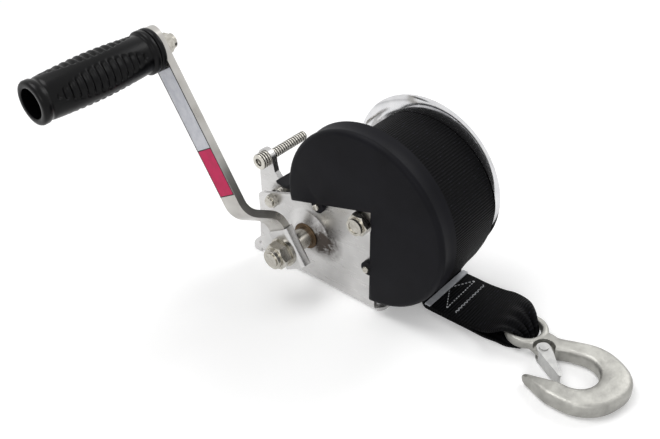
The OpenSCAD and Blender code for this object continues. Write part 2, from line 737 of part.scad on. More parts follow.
module pawl() color(steel) across(pawl_x, pawl_t) difference() {
    union() {
        // Nose that drops into the ratchet, drawn engaged and then lifted clear
        translate(pawl_at) rotate(-pawl_lift) translate(-pawl_at) polygon([
            pawl_at + [0, 11], pawl_at + pawl_nose * [cos(pawl_engaged_angle - 7), sin(pawl_engaged_angle - 7)],
            pawl_at + pawl_nose * [cos(pawl_engaged_angle), sin(pawl_engaged_angle)],
            pawl_at + [-26, 3], pawl_at + [-12, -4], pawl_at + [0, -11]]);
        translate(pawl_at) circle(11);
        translate(thumb_at) circle(8);
        // Lever and counterweight
        polygon(rounded([
            thumb_at_corner(-7.6, -1), thumb_at_corner(-9, -10), thumb_at_corner(-13, -15), thumb_at_corner(-24, -24),
            [pawl_at[0] + 4, pawl_at[1] - 10.5, 0], [pawl_at[0] + 24.3, pawl_at[1] - 11, 5],
            [thumb_at[0] + 7.4, thumb_at[1] - 2, 0]], 4));
    }
    translate(pawl_at) circle(pawl_bolt_d / 2 + run_fit);
    translate(thumb_at) circle(thumb_bolt_d / 2);
}

function thumb_at_corner(dy, dz) = [thumb_at[0] + dy, thumb_at[1] + dz, 0];

module thumb_bolt() color(steel) {
    turned([
        [0, pawl_x - thumb_head_h + 3], [3.4, pawl_x - thumb_head_h + 3], [3.4, pawl_x - thumb_head_h],
        [thumb_head_r - 0.8, pawl_x - thumb_head_h], [thumb_head_r, pawl_x - thumb_head_h + 0.8],
        [thumb_head_r, pawl_x], [thumb_bolt_d / 2, pawl_x], [thumb_bolt_d / 2, pawl_x + thumb_bolt_l - 1],
        [thumb_bolt_d / 2 - 1, pawl_x + thumb_bolt_l], [0, pawl_x + thumb_bolt_l]], thumb_at);
}

module pawl_bolt() color(steel) {
    head_x = pawl_x + pawl_t + gap;
    hexagon(head_x, small_head_h, small_nut_af, pawl_at);
    bar(near_x - small_nut_h, head_x - near_x + small_nut_h, pawl_bolt_d / 2, pawl_at);
}

module pawl_nut() color(steel) lock_nut(near_x, small_nut_h, small_nut_af, pawl_bolt_d, pawl_at, -1);

// Torsion spring round the pawl's pivot, between the plate and the pawl
module pawl_spring() color(zinc) {
    turns = 3;
    steps = 24;
    sides = 8;
    length = pawl_x - near_in - 2 * gap - spring_wire;
    path = [for (i = [0:turns * steps])
        let (a = 120 + 360 * i / steps, x = near_in + gap + spring_wire / 2 + length * i / turns / steps)
        [x, pawl_at[0] + spring_r * cos(a), pawl_at[1] + spring_r * sin(a), a]];
    points = [for (p = path, k = [0:sides - 1])
        let (q = 360 * k / sides, out = spring_wire / 2 * cos(q), along = spring_wire / 2 * sin(q))
        [p[0] + along, p[1] + out * cos(p[3]), p[2] + out * sin(p[3])]];
    last = len(path) - 1;
    faces = concat(
        [[for (k = [0:sides - 1]) k]],
        [for (i = [0:last - 1], k = [0:sides - 1])
            [i * sides + k, (i + 1) * sides + k, (i + 1) * sides + (k + 1) % sides, i * sides + (k + 1) % sides]],
        [[for (k = [sides - 1:-1:0]) last * sides + k]]);
    polyhedron(points, faces, convexity = 8);
}

// ---------- Hook ----------

// Rounded-box cross-section across the forging: inner edge p, outer edge q, thickness h, middle height z
function section(p, q, h, z, n = 12) = [for (k = [0:n - 1])
    let (
        a = 360 * (k + 0.5) / n, f = 1 / pow(cos(180 / n), 0.5),
        u = f * sign(cos(a)) * pow(abs(cos(a)), 0.5), v = f * sign(sin(a)) * pow(abs(sin(a)), 0.5),
        at = (p + q) / 2 + u * (q - p) / 2
    )
    [at[0], at[1], z + v * h / 2]];

// The forging is lofted along the hook: shank, bowl, then the point. The hook lies along +X here.
hook_mid = hook_t / 2;
bowl_steps = 16;
throat_at = [hook_l, 0.8];
bowl_at = throat_at + [4.3, 1.6];

// Outer edge of the bowl at angle b: fullest halfway between its end and its back
function bowl_edge(b) = bowl_at + (bowl_r + (b > 0 && b < 90 ? 2.4 * pow(sin(2 * b), 2) : 0)) * [cos(b), sin(b)];

hook_sections = concat(
    [section([eye_hole_r + 0.8, -9.6], [eye_hole_r + 0.8, 11], eye_h - 1, eye_z),
     section([16, -8.2], [16, 12.2], 0.5 * (eye_h + hook_t) - 1, eye_z - 0.5),
     section([21, -6.6], [19.6, 12.9], hook_t - 1, hook_mid + 0.3),
     section([25.8, -4.2], [22.8, 15], hook_t, hook_mid),
     section([29.5, 3], [26.4, 18], hook_t, hook_mid),
     section([35.3, 8.9], [30.6, 21.7], hook_t, hook_mid)],
    [for (i = [0:bowl_steps])
        section(throat_at + throat_r * [cos(134 - 196 * i / bowl_steps), sin(134 - 196 * i / bowl_steps)],
            bowl_edge(127 - 197 * i / bowl_steps), hook_t, hook_mid)],
    [section(throat_at + [1.2, -16.2], throat_at + [4.7, -31.2], hook_t, hook_mid),
     section(throat_at + [-4.8, -20.2], throat_at + [-2.3, -31.4], hook_t - 0.8, hook_mid - 0.4),
     section(throat_at + [-10.8, -24.2], throat_at + [-9.8, -31.2], hook_t - 2.4, hook_mid - 0.8),
     section(throat_at + [-15.8, -26.6], throat_at + [-15.3, -31.4], hook_t - 4.4, hook_mid - 1.2),
     section(throat_at + [-18.4, -27.6], throat_at + [-18, -31], hook_t - 6.4, hook_mid - 1.4),
     section(throat_at + [-19.8, -28.8], throat_at + [-19.7, -30.4], hook_t - 9.8, hook_mid - 1.4)]);

module hook_blank() {
    n = len(hook_sections[0]);
    last = len(hook_sections) - 1;
    polyhedron([for (r = hook_sections) each r], concat(
        [[for (k = [0:n - 1]) k]],
        [for (j = [0:last - 1], k = [0:n - 1])
            let (a = j * n + k, b = j * n + (k + 1) % n) each [[a, a + n, b], [b, a + n, b + n]]],
        [[for (k = [n - 1:-1:0]) last * n + k]]), convexity = 10);
}

module eye_ring() {
    w = (eye_r - eye_hole_r) / 2;
    r = w - 0.35;
    translate([0, 0, eye_z]) rotate_extrude($fn = 96) translate([(eye_r + eye_hole_r) / 2, 0])
        polygon(rounded([[-w, -eye_h / 2, r], [w, -eye_h / 2, r], [w, eye_h / 2, r], [-w, eye_h / 2, r]], 4));
}

module hook() color(zinc) on_hook() difference() {
    union() {
        hook_blank();
        eye_ring();
    }
    // Seats of the latch's ears
    translate([rivet_at[0], rivet_at[1], -1]) cylinder(r = seat_r, h = 1 + seat_low);
    translate([rivet_at[0], rivet_at[1], seat_high]) cylinder(r = seat_r, h = 10);
    translate([rivet_at[0], rivet_at[1], -1]) cylinder(r = rivet_r, h = 40);
}

module latch_rivet() color(zinc) on_hook() translate([rivet_at[0], rivet_at[1], 0]) {
    translate([0, 0, 0.1]) cylinder(r = 3.4, h = 0.7);
    translate([0, 0, 0.1]) cylinder(r = rivet_r, h = hook_t - 0.2);
    translate([0, 0, hook_t - 0.9]) cylinder(r = 3.4, h = 0.9);
}

// Torsion spring of the latch: three close turns round the rivet
module latch_spring() color(steel) on_hook() translate([rivet_at[0], rivet_at[1], seat_high])
    for (i = [0:2]) translate([0, 0, 0.62 + 0.65 * i]) rotate_extrude() translate([rivet_r + 1, 0]) circle(0.3, $fn = 16);

// Sprung gate across the hook's mouth: two ears on the rivet and a web along its outer edge
module hook_latch() color(steel) on_hook() translate([rivet_at[0], rivet_at[1], 0]) rotate(latch_angle) {
    leaf = rounded([[-5, -5, 4.3], [1.5, -5.2, 6], [latch_l, -1, 0.5], [latch_l, 0.7, 0.5], [7, 4.2, 6],
        [-5, 5, 4.3]], 4);
    for (z = [ear_low, ear_high]) translate([0, 0, z]) linear_extrude(latch_t) difference() {
        polygon(leaf);
        circle(rivet_r + run_fit);
    }
    translate([0, 0, ear_low]) linear_extrude(ear_high + latch_t - ear_low)
        polygon([[2.5, -5], [latch_l - 0.5, -1], [latch_l - 0.5, latch_t - 1], [2.5, latch_t - 5]]);
}

// ---------- Assembly ----------

frame();
gear_cover();
cover_screws();
axle_sleeve();
drum_bolt();
drum_washer();
drum_nut();
shaft_bush();
pawl_bolt();
pawl_nut();
pawl_spring();
strap_tail();
strap_clip();
drum_gear();
near_flange();
far_flange();
drum_tube();
near_bush();
far_bush();
gear_rivets();
strap_anchor();
strap_roll();
pinion_shaft();
ratchet_wheel();
handle_socket();
crank_arm();
crank_washer();
crank_nut();
grip_bolt();
grip_nut();
grip();
pawl();
thumb_bolt();
hook();
latch_rivet();
latch_spring();
hook_latch();
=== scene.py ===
"""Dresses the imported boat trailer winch.

Every CAD part gets its finish. The webbing, far flange, grip, hook, gear cover, handle socket, seams and
label are modelled here.
"""
import math

import bmesh
import bpy
from mathutils import Matrix, Vector


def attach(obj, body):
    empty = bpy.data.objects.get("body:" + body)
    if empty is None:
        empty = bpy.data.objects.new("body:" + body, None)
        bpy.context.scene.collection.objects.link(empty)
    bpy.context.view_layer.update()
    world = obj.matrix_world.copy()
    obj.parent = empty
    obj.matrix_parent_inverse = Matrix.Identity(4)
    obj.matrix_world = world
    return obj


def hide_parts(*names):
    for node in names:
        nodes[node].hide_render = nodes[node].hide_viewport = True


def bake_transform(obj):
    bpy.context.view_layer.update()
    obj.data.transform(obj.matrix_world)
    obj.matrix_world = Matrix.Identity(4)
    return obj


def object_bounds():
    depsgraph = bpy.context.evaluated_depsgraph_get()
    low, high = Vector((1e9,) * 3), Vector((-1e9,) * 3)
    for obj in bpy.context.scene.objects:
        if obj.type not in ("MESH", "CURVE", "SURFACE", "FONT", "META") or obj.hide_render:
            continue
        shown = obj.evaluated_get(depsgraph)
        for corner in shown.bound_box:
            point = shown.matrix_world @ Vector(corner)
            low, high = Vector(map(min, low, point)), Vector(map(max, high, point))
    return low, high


MM = 0.001

# Sizes and places in millimetres, in the frame that the CAD model uses
DRUM_Y, DRUM_Z = -57.5, 82  # drum axle
CRANK_Y, CRANK_Z = -1.96, 46.34  # crank shaft
GRIP_Y, GRIP_Z = 83.95, 198.81  # axis that the grip turns on
GRIP_IN, GRIP_OUT = -93.0, -192.0  # the grip's two ends along X
GRIP_GROOVES = 14.5  # cross grooves along the barrel
GRIP_PANEL = 164  # degrees round the grip to the middle of a panel
STRAP_LEFT, STRAP_RIGHT = -17.5, 32.5  # edges of the webbing on the drum
STRAP_T = 2.1  # thickness of the webbing
STRAP_MID = 52.8  # radius of the last turn's middle, at the top of the drum
ROLL_R = 51.5  # radius of the wound webbing
RIB = 2.25  # from one rib of the webbing to the next
FLANGE_IN = 32.9  # strap side of the far flange
STITCH_Z = 4.6  # height of the threads' middle
HOOK_AT = Vector((3.2, -172, 0))  # middle of the hook's eye
HOOK_TURN = math.radians(-110)  # the way its shank points, in the plane of the table
HOOK_T = 13  # thickness of its bowl
HOOK_MID = 6.5  # height of the bowl's middle
RIVET_S, RIVET_W = 22.5, -3  # the latch's rivet, along and across the hook
SOCKET_BEND = 0.9  # radius of the bends along the socket's web
ARM_ALONG = Vector((0, 0.4909, 0.8712))  # from the crank shaft to the grip
ARM_ACROSS = Vector((0, 0.8712, -0.4909))
LABEL_X = -92.5  # outer face of the crank's arm
CAMERA_AT = Vector((-425.8, -391.7, 449.05))
CAMERA_RIGHT = Vector((0.6595, -0.7497, -0.0548))
CAMERA_UP = Vector((0.4663, 0.3508, 0.8121))
SENSOR, LENS = 36, 47.58

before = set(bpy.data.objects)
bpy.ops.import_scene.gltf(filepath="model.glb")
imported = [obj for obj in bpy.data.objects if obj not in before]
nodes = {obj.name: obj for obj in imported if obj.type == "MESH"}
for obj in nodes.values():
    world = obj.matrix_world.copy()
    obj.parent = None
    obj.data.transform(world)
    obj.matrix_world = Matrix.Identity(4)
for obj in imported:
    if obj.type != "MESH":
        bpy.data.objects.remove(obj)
cad_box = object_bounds()


# ---------- Materials ----------

def linear(hex_colour):
    """An sRGB hex colour as the linear RGBA that the shader wants."""
    channels = [int(hex_colour[i:i + 2], 16) / 255 for i in (1, 3, 5)]
    return [c / 12.92 if c <= 0.04045 else ((c + 0.055) / 1.055) ** 2.4 for c in channels] + [1.0]


def add(tree, kind, inputs=None, **settings):
    """Adds a node. Inputs maps a socket to a value, or to another node's output."""
    new = tree.nodes.new(kind)
    for name, value in settings.items():
        setattr(new, name, value)
    for socket, value in (inputs or {}).items():
        if isinstance(value, bpy.types.NodeSocket):
            tree.links.new(value, new.inputs[socket])
        else:
            new.inputs[socket].default_value = value
    return new


def blank(name):
    """A new material whose tree holds only a node for the object's own coordinates."""
    material = bpy.data.materials.new(name)
    material.use_nodes = True
    tree = material.node_tree
    tree.nodes.clear()
    place = add(tree, "ShaderNodeTexCoord")
    return material, tree, place.outputs["Object"]


def ramp(tree, factor, stops):
    """A colour ramp from (position, hex colour) stops."""
    new = add(tree, "ShaderNodeValToRGB", {"Fac": factor})
    elements = new.color_ramp.elements
    while len(elements) < len(stops):
        elements.new(0.5)
    for element, (position, colour) in zip(elements, stops):
        element.position = position
        element.color = linear(colour)
    return new.outputs["Color"]


def spread(tree, value, low, high):
    """Maps a 0 to 1 value onto low to high."""
    mapped = add(tree, "ShaderNodeMapRange", {"Value": value, "To Min": low, "To Max": high})
    return mapped.outputs["Result"]


def speckle(tree, coords, size_mm, detail=2.0, stretch=(1, 1, 1)):
    """Noise whose blotches are about size_mm across."""
    scaled = add(tree, "ShaderNodeMapping", {"Vector": coords, "Scale": stretch})
    texture = add(tree, "ShaderNodeTexNoise", {
        "Vector": scaled.outputs["Vector"], "Scale": 1 / (size_mm * MM),
        "Detail": detail, "Roughness": 0.6})
    return texture.outputs["Fac"]


def ripple(tree, along, pitch):
    """A wave from 0 to 1 that comes round once every pitch."""
    phase = add(tree, "ShaderNodeMath", {0: along, 1: 2 * math.pi / pitch}, operation="MULTIPLY").outputs[0]
    wave = add(tree, "ShaderNodeMath", {0: phase}, operation="SINE").outputs[0]
    return add(tree, "ShaderNodeMapRange", {"Value": wave, "From Min": -1.0}).outputs["Result"]


def bump(tree, height, depth_mm, strength=1.0):
    """A bump whose full height is depth_mm."""
    inputs = {"Height": height, "Strength": strength, "Distance": depth_mm * MM}
    return add(tree, "ShaderNodeBump", inputs).outputs["Normal"]


def finish_with(tree, **values):
    """Closes a material with the shader. Names have underscores for spaces."""
    shader = add(tree, "ShaderNodeBsdfPrincipled", {k.replace("_", " "): v for k, v in values.items()})
    add(tree, "ShaderNodeOutputMaterial", {"Surface": shader.outputs["BSDF"]})


def stainless_sheet():
    """Brushed 304 sheet: fine scratches along the rolling direction and a few soft smudges."""
    material, tree, coords = blank("stainless_sheet")
    scratches = speckle(tree, coords, 0.9, 4.0, (1, 0.06, 1))
    smudges = speckle(tree, coords, 26)
    # Painted dark reflection and shade beside the shaft's bush, in blotches of dark brown: it fades out 6 to
    # 21 mm from its middle
    away = add(tree, "ShaderNodeVectorMath", {0: coords, 1: (-0.04, -0.016, 0.046)}, operation="DISTANCE")
    near = add(tree, "ShaderNodeMapRange", {
        "Value": away.outputs["Value"], "From Min": 0.006, "From Max": 0.021, "To Min": 1, "To Max": 0})
    reflection_blots = spread(tree, speckle(tree, coords, 4, 5.0), -0.4, 2.6)
    painted_reflection_mask = add(
        tree, "ShaderNodeMath", {0: near.outputs["Result"], 1: reflection_blots}, operation="MULTIPLY", use_clamp=True)
    plate_tone = ramp(tree, smudges, [(0.3, "#bdbcbb"), (0.7, "#d0cfce")])
    # The plate's colour with the painted dark reflection (#4a4440) mixed in
    # Sockets 6 and 7 of a colour mix are its two colours, and output 2 is the result
    plate_with_painted_reflection = add(
        tree, "ShaderNodeMix", {0: painted_reflection_mask.outputs[0], 6: plate_tone, 7: linear("#4a4440")}, data_type="RGBA")
    finish_with(
        tree, Metallic=1.0,
        Base_Color=plate_with_painted_reflection.outputs[2],
        Roughness=spread(tree, scratches, 0.22, 0.36),
        Normal=bump(tree, scratches, 0.015, 0.5))
    return material


def stainless_bar():
    """Drawn and tumbled flat bar: smoother than the sheet, with faint long draw lines."""
    material, tree, coords = blank("stainless_bar")
    lines = speckle(tree, coords, 0.8, 3.0, (1, 1, 0.05))
    smudges = speckle(tree, coords, 18)
    finish_with(
        tree, Metallic=1.0,
        Base_Color=ramp(tree, smudges, [(0.3, "#a9a6a1"), (0.7, "#c2c0bc")]),
        Roughness=spread(tree, smudges, 0.24, 0.34),
        Normal=bump(tree, lines, 0.01, 0.4))
    return material


def polished_stainless():
    """Spun and buffed flange: near mirror, with faint spinning marks."""
    material, tree, coords = blank("polished_stainless")
    haze = speckle(tree, coords, 9)
    finish_with(
        tree, Metallic=1.0,
        Base_Color=ramp(tree, haze, [(0.3, "#d2d2d4"), (0.7, "#dededf")]),
        Roughness=0.13)
    return material


def bright_fastener():
    """Cold-formed stainless bolts and nuts: bright, slightly uneven from forming."""
    material, tree, coords = blank("bright_fastener")
    patches = speckle(tree, coords, 3.5)
    finish_with(
        tree, Metallic=1.0,
        Base_Color=ramp(tree, patches, [(0.3, "#aaa69d"), (0.7, "#c6c3bb")]),
        Roughness=spread(tree, patches, 0.2, 0.3),
        Normal=bump(tree, patches, 0.02, 0.2))
    return material


def rolled_thread():
    """Bright bolt with a rolled thread along X, drawn at 2.4 mm pitch so that it shows, with painted shade
    darkening its roots.
    """
    material, tree, coords = blank("rolled_thread")
    along = add(tree, "ShaderNodeSeparateXYZ", {"Vector": coords}).outputs["X"]
    crest = ripple(tree, along, 2.4 * MM)
    finish_with(
        tree, Metallic=1.0,
        # The dark thread roots are painted shade; the light crests are the bolt's own colour
        Base_Color=ramp(tree, crest, [(0.2, "#3c3a37"), (0.6, "#c6c3bb")]),
        Roughness=0.26, Normal=bump(tree, crest, 0.8, 1.0))
    return material


def zinc_forging():
    """Zinc-plated drop forging: pale, softly matt and pitted like cast sand."""
    material, tree, coords = blank("zinc_forging")
    pits = speckle(tree, coords, 1.4, 5.0)
    clouds = speckle(tree, coords, 14, 3.0)
    finish_with(
        tree, Metallic=1.0,
        Base_Color=ramp(tree, clouds, [(0.3, "#8e8d89"), (0.55, "#a5a49f"), (0.8, "#b9b8b3")]),
        Roughness=spread(tree, clouds, 0.4, 0.52),
        Normal=bump(tree, pits, 0.25, 0.7))
    return material


def zinc_plate():
    """Zinc-plated gear and stamped parts: even grey with a light satin."""
    material, tree, coords = blank("zinc_plate")
    clouds = speckle(tree, coords, 6, 3.0)
    finish_with(
        tree, Metallic=1.0,
        Base_Color=ramp(tree, clouds, [(0.3, "#a9a9a8"), (0.7, "#bfbfbd")]),
        Roughness=spread(tree, clouds, 0.3, 0.45),
        Normal=bump(tree, clouds, 0.05, 0.3))
    return material


def spring_wire():
    """Drawn spring wire: darker steel with a thin oil film."""
    material, tree, coords = blank("spring_wire")
    streaks = speckle(tree, coords, 1.0)
    finish_with(
        tree, Metallic=1.0,
        Base_Color=ramp(tree, streaks, [(0.3, "#8f8d88"), (0.7, "#adaaa4")]),
        Roughness=spread(tree, streaks, 0.25, 0.4))
    return material


def sintered_bronze():
    """Oil-filled sintered bronze: finely porous, its own brown-gold darkened with painted shade."""
    material, tree, coords = blank("sintered_bronze")
    pores = speckle(tree, coords, 0.5, 4.0)
    finish_with(
        tree, Metallic=1.0,
        # The bronze's own brown, darkened as painted shade
        Base_Color=ramp(tree, pores, [(0.3, "#453729"), (0.7, "#6b5945")]),
        Roughness=spread(tree, pores, 0.35, 0.55),
        Normal=bump(tree, pores, 0.05, 0.5))
    return material


def moulded_cover():
    """Injection-moulded black ABS with a fine spark-eroded grain."""
    material, tree, coords = blank("moulded_abs")
    grain = speckle(tree, coords, 0.5, 2.0)
    wear = speckle(tree, coords, 30)
    finish_with(
        tree,
        Base_Color=ramp(tree, wear, [(0.3, "#0c0c10"), (0.7, "#111116")]),
        Roughness=spread(tree, grain, 0.46, 0.6),
        IOR=1.5, Specular_IOR_Level=0.1,
        Normal=bump(tree, grain, 0.06, 0.6))
    return material


def moulded_grip():
    """Moulded black polypropylene grip: waxy, with soft highlights."""
    material, tree, coords = blank("moulded_polypropylene")
    grain = speckle(tree, coords, 0.7, 2.0)
    wear = speckle(tree, coords, 12)
    finish_with(
        tree,
        Base_Color=ramp(tree, wear, [(0.3, "#020203"), (0.7, "#050506")]),
        Roughness=spread(tree, grain, 0.25, 0.33),
        IOR=1.49, Specular_IOR_Level=0.16,
        Normal=bump(tree, grain, 0.03, 0.5))
    return material


def polyester_webbing():
    """Black woven polyester webbing: cross ribs, and a painted blue-grey sheen in its colour where a yarn
    would catch light.
    """
    material, tree, _ = blank("polyester_webbing")
    lengths = add(tree, "ShaderNodeTexCoord").outputs["UV"]
    along = add(tree, "ShaderNodeSeparateXYZ", {"Vector": lengths}).outputs["Y"]
    # The UV map is in millimetres
    ribs = ripple(tree, along, RIB)
    drawn_out = add(tree, "ShaderNodeMapping", {"Vector": lengths, "Scale": (0.3, 0.44, 1)})
    yarns = add(tree, "ShaderNodeTexNoise", {
        "Vector": drawn_out.outputs["Vector"], "Scale": 1.0,
        "Detail": 3.0, "Roughness": 0.65}).outputs["Fac"]
    # Painted sheen: where a rib and a yarn line up, the colour turns blue-grey as if lit
    painted_yarn_sheen = add(tree, "ShaderNodeMath", {0: ribs, 1: yarns}, operation="MULTIPLY").outputs[0]
    finish_with(
        tree,
        Base_Color=ramp(tree, painted_yarn_sheen, [(0.34, "#030304"), (0.54, "#09090c"), (0.7, "#33333f")]),
        Roughness=0.6, IOR=1.5, Specular_IOR_Level=0.06,
        Normal=bump(tree, ribs, 0.5, 0.8))
    return material


def clip_enamel():
    """Stove-enamelled steel strip in light grey, satin, slightly rubbed."""
    material, tree, coords = blank("light_grey_enamel")
    rubs = speckle(tree, coords, 5, 3.0)
    finish_with(
        tree, Base_Color=ramp(tree, rubs, [(0.3, "#b4b6bb"), (0.7, "#c9cbd0")]),
        Roughness=spread(tree, rubs, 0.35, 0.5), IOR=1.5)
    return material


def sewing_thread():
    """White bonded nylon thread, slightly soiled."""
    material, tree, coords = blank("bonded_nylon_thread")
    soil = speckle(tree, coords, 6)
    finish_with(
        tree, Base_Color=ramp(tree, soil, [(0.35, "#8d8f93"), (0.6, "#d8dadd")]), Roughness=0.6, IOR=1.5)
    return material


def printed_film(name, colour, worn):
    """Screen-printed polyester label film with a light satin and faint scuffs."""
    material, tree, coords = blank(name)
    scuffs = speckle(tree, coords, 7, 4.0)
    finish_with(
        tree, Base_Color=ramp(tree, scuffs, [(0.35, worn), (0.6, colour)]),
        Roughness=spread(tree, scuffs, 0.35, 0.5), IOR=1.5, Specular_IOR_Level=0.2)
    return material


FINISHES = {
    "stainless_sheet": stainless_sheet(),
    "stainless_bar": stainless_bar(),
    "polished_stainless": polished_stainless(),
    "bright_fastener": bright_fastener(),
    "rolled_thread": rolled_thread(),
    "zinc_forging": zinc_forging(),
    "zinc_plate": zinc_plate(),
    "spring_wire": spring_wire(),
    "sintered_bronze": sintered_bronze(),
    "moulded_cover": moulded_cover(),
    "moulded_grip": moulded_grip(),
    "webbing": polyester_webbing(),
    "clip_enamel": clip_enamel(),
    "thread": sewing_thread(),
    "label_ink": printed_film("label_film_dark", "#1b1b1f", "#26262b"),
    "label_pale": printed_film("label_film_pale", "#d3d4da", "#c3c5cd"),
    "label_red": printed_film("label_film_crimson", "#cc1457", "#bd124f"),
}

NODE_FINISHES = {
    "stainless_sheet": ["frame", "handle_socket", "pawl"],
    "stainless_bar": ["crank_arm"],
    "polished_stainless": ["far_flange", "near_flange"],
    "bright_fastener": [
        "cover_screws", "drum_bolt", "drum_washer", "drum_nut", "pawl_bolt", "pawl_nut", "strap_anchor",
        "crank_washer", "crank_nut", "grip_bolt", "grip_nut", "pinion_shaft"],
    "rolled_thread": ["thumb_bolt"],
    "clip_enamel": ["strap_clip"],
    "zinc_forging": ["hook"],
    "zinc_plate": [
        "drum_gear", "drum_tube", "gear_rivets", "ratchet_wheel", "hook_latch", "latch_rivet",
        "axle_sleeve"],
    "spring_wire": ["pawl_spring", "latch_spring"],
    "sintered_bronze": ["shaft_bush", "near_bush", "far_bush"],
    "moulded_cover": ["gear_cover"],
    "moulded_grip": ["grip"],
    "webbing": ["strap_tail", "strap_roll"],
}
for finish, names in NODE_FINISHES.items():
    for name in names:
        node_object = nodes[name]
        for material_slot in node_object.material_slots:
            material_slot.material = FINISHES[finish]


# ---------- Pieces ----------

def finished(name, bm, finish, body=None, replaced=(), crease=35):
    """Makes an object from a bmesh in millimetres, and lets it move with a body. Crease is in degrees."""
    bmesh.ops.scale(bm, vec=(MM, MM, MM), verts=bm.verts)
    mesh = bpy.data.meshes.new(name)
    bm.to_mesh(mesh)
    bm.free()
    mesh.shade_smooth()
    mesh.set_sharp_from_angle(angle=math.radians(crease))
    mesh.materials.append(FINISHES[finish])
    made = bpy.data.objects.new(name, mesh)
    bpy.context.scene.collection.objects.link(made)
    if body:
        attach(made, body)
    if replaced:
        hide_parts(*replaced)
    return made


def chained(row, closed):
    """Each vertex of a chain with the one after it."""
    return zip(row, row[1:] + (row[:1] if closed else []))


def in_millimetres(mesh):
    """A bmesh in millimetres from a mesh in metres."""
    bm = bmesh.new()
    bm.from_mesh(mesh)
    bmesh.ops.scale(bm, vec=(1 / MM, 1 / MM, 1 / MM), verts=bm.verts)
    return bm


def row_of(bm, places, closed=False):
    """A chain of vertices joined by edges."""
    row = [bm.verts.new(place) for place in places]
    for pair in chained(row, closed):
        bm.edges.new(pair)
    return row


def pull(bm, row, places, closed=False):
    """Extrudes a chain of vertices to new places, and returns the new chain."""
    edges = [bm.edges.get(pair) for pair in chained(row, closed)]
    made = bmesh.ops.extrude_edge_only(bm, edges=edges)["geom"]
    fresh = {v for v in made if isinstance(v, bmesh.types.BMVert)}
    following = [next(e.other_vert(v) for e in v.link_edges if e.other_vert(v) in fresh) for v in row]
    for v, place in zip(following, places):
        v.co = place
    return following


def curve(points, per=5):
    """A smooth curve through the points, with this many points in each span."""
    points = [Vector(p) for p in points]
    points = [2 * points[0] - points[1]] + points + [2 * points[-1] - points[-2]]
    made = []
    for before, one, two, after in zip(points, points[1:], points[2:], points[3:]):
        for i in range(per):
            t = i / per
            made.append(0.5 * (
                2 * one + (two - before) * t
                + (2 * before - 5 * one + 4 * two - after) * t * t
                + (3 * one - before - 3 * two + after) * t ** 3))
    made.append(points[-2])
    return made


def measure(bm, rows, spans, width):
    """Lays a UV map in millimetres on a strip: across it, and along it."""
    layer = bm.loops.layers.uv.new("lengths")
    across = {v: (i, j) for i, row in enumerate(rows) for j, v in enumerate(row)}
    for face in bm.faces:
        for loop in face.loops:
            i, j = across[loop.vert]
            loop[layer].uv = (width * j / (len(rows[0]) - 1), spans[i])


# The strap between the drum and the fold: Y and Z of its middle, and how far it has shifted along X
STRAP_DROP = [
    (-119.8, 66, 0), (-115.7, 50.5, 0.3), (-107.1, 32, 1), (-98, 17, 2), (-93.6, 9, 3),
    (-92.4, 6.4, 3.3), (-92.4, 3.8, 3.5), (-94.3, 1.8, 3.5), (-97.5, 1.3, 3.5)]
# Left and right edge of its middle from there on
STRAP_LOOP = [
    # Flat on the table, then gathered under the ring's rear bar
    ((-14, -108, 1.3), (36, -108, 1.3)), ((-14, -120, 1.3), (36, -120, 1.3)),
    ((-14, -134, 1.3), (36, -134, 1.3)), ((-14, -146, 1.3), (34, -144, 1.3)),
    ((-12.6, -157, 1.3), (19, -156, 1.4)), ((-12, -165, 1.3), (12.5, -167, 1.4)),
    # Up through the ring and back over the bar
    ((-8.6, -171.5, 1.6), (11.3, -174.5, 2.2)), ((-6.2, -172.5, 5.5), (11.4, -176.3, 5.5)),
    ((-6.4, -172, 9.5), (12, -175.6, 9.5)), ((-9, -168, 13), (18, -170.6, 13.4)),
    ((-13, -161, 14.2), (25.5, -162, 14)),
    # Spread out again on top of the lower layer, as far as the cut end
    ((-14.6, -155, 11.2), (31.6, -152.5, 10.6)), ((-14.2, -147, 6.4), (35.8, -142.5, 6.8)),
    ((-14, -135, 3.9), (36.3, -133.5, 4.4)), ((-13.8, -120, 3.45), (35.8, -120, 3.45)),
    ((-14, -107, 3.45), (36, -107, 3.45)), ((-14, -95, 3.45), (36, -95, 3.45))]
YARNS = 40  # spans across the strap
FOLDS = 3.5  # waves across it where it is gathered
FOLD_H = 3.2  # height of a wave if it were gathered to nothing
LOWEST = 1.15  # its middle is nowhere lower than this
SELVEDGE = 0.7  # how far its edges are rounded


